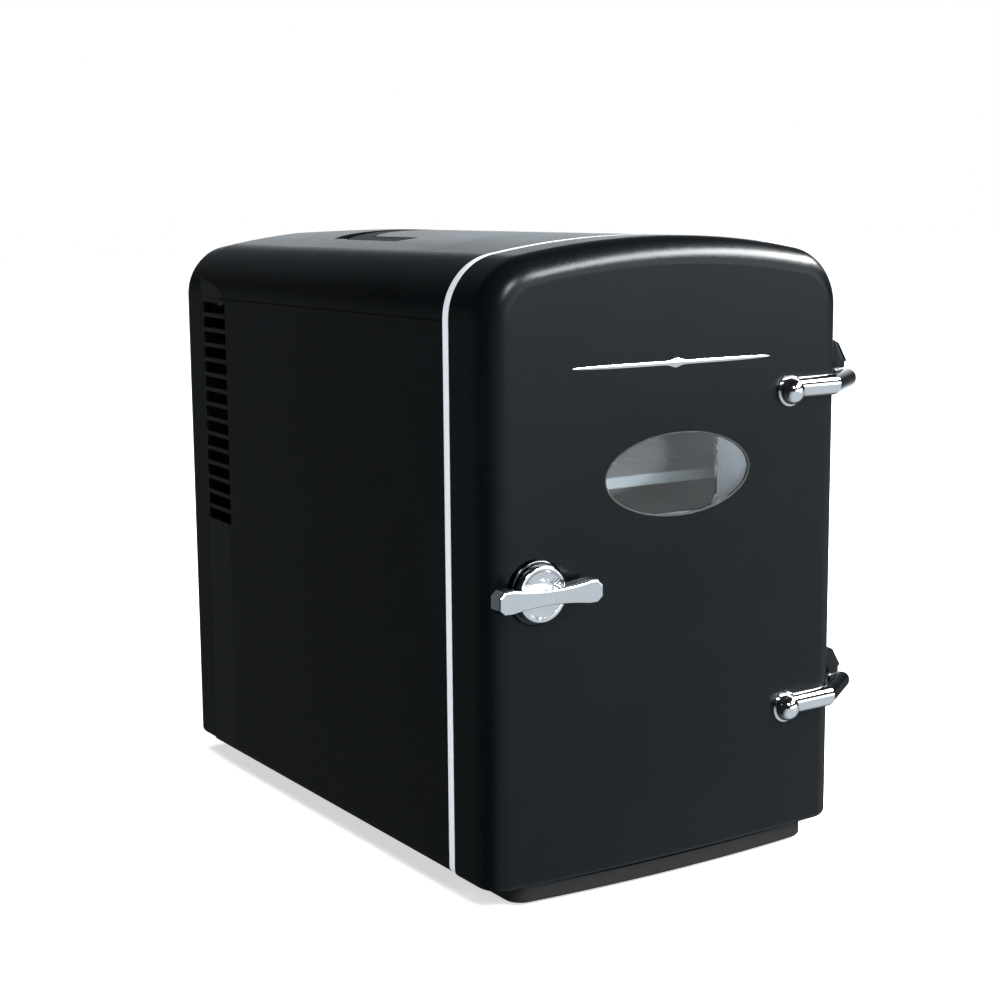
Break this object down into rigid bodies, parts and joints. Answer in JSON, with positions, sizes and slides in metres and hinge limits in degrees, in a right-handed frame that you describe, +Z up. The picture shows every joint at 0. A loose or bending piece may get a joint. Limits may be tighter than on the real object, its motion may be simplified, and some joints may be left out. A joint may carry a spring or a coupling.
{
  "type": "mini fridge",
  "caption": "Retro countertop mini fridge with a crowned cabinet, side-hinged bowed door with an oval window, chrome latch and hinges, and a folding carry handle.",
  "frame": {"origin": "middle plane of the cabinet, at the joint between trim ring and cabinet, on the underside of the base plate", "axes": "+X to the right seen from the front, +Y towards the back, +Z up"},
  "size_m": [0.1999, 0.2975, 0.262],
  "materials": {
    "black_shell": "satin black moulding, very fine texture",
    "black_handle": "satin black moulding",
    "black_base": "matt black moulding",
    "pale_trim": "silver-white gloss",
    "pale_liner": "pale grey-white vacuum-formed sheet",
    "clear_pane": "clear, polished",
    "chrome": "polished plating",
    "steel": "zinc plated",
    "rubber": "soft matt",
    "foam": "expanded beads",
    "aluminium": "extruded, matt",
    "ceramic": "fired, matt",
    "black_plastic": "moulded, matt",
    "board": "green solder mask"
  },
  "bodies": {
    "cabinet": {"base_plate": "black_base", "base_screws": "steel", "board_parts": "black_plastic", "board_posts": "black_plastic", "bottom_panel": "black_shell", "bracket_screws": "steel", "cavity_liner": "pale_liner", "cold_sink": "aluminium", "handle_cup": "black_handle", "hinge_bracket_lower": "chrome", "hinge_bracket_upper": "chrome", "hinge_pins": "steel", "hot_sink": "aluminium", "inner_fan_cover": "pale_liner", "inner_fan_motor": "black_plastic", "insulation_floor": "foam", "insulation_left": "foam", "insulation_rear": "foam", "insulation_right": "foam", "insulation_top": "foam", "latch_keeper": "steel", "low_voltage_socket": "black_plastic", "mains_inlet": "black_plastic", "outer_fan_frame": "black_plastic", "power_board": "board", "rear_cover": "black_shell", "rear_cover_screws": "steel", "rubber_feet": "rubber", "shelf": "pale_liner", "side_panel_left": "black_shell", "side_panel_right": "black_shell", "sink_bolts": "steel", "switch_bezel": "black_plastic", "thermoelectric_module": "ceramic", "top_shell": "black_shell", "transfer_block": "aluminium", "trim_ring": "pale_trim"},
    "door": {"door_shell": "black_shell", "door_liner": "pale_liner", "door_insulation": "foam", "door_gasket": "rubber", "window_pane_outer": "clear_pane", "window_pane_inner": "clear_pane", "window_frame": "pale_liner", "latch_escutcheon": "chrome", "hinge_leaf_lower": "chrome", "hinge_leaf_upper": "chrome"},
    "latch": {"latch_hub": "chrome", "latch_bar": "chrome", "latch_spindle": "steel", "latch_cam": "steel", "cam_screw": "steel"},
    "handle": {"carry_handle": "black_handle"},
    "inner_fan": {"inner_fan_rotor": "black_plastic"},
    "outer_fan": {"outer_fan_rotor": "black_plastic"},
    "switch": {"mode_switch": "black_plastic"}
  },
  "joints": [
    {"name": "door_hinge", "type": "hinge", "parent": "cabinet", "child": "door", "pos_m": [0.098, -0.015, 0.13], "axis": [0, 0, 1], "range_deg": [0, 120]},
    {"name": "latch_turn", "type": "hinge", "parent": "door", "child": "latch", "pos_m": [-0.068, -0.03, 0.1262], "axis": [0, -1, 0], "range_deg": [0, 90]},
    {"name": "handle_fold", "type": "hinge", "parent": "cabinet", "child": "handle", "pos_m": [0, 0.11, 0.2513], "axis": [1, 0, 0], "range_deg": [0, 90]},
    {"name": "inner_fan_spin", "type": "hinge", "parent": "cabinet", "child": "inner_fan", "pos_m": [0, 0.143, 0.1575], "axis": [0, 1, 0], "continuous": true},
    {"name": "outer_fan_spin", "type": "hinge", "parent": "cabinet", "child": "outer_fan", "pos_m": [0, 0.214, 0.1575], "axis": [0, 1, 0], "continuous": true},
    {"name": "mode_rocker", "type": "hinge", "parent": "cabinet", "child": "switch", "pos_m": [0.034, 0.2475, 0.0435], "axis": [1, 0, 0], "range_deg": [-10, 10]}
  ]
}
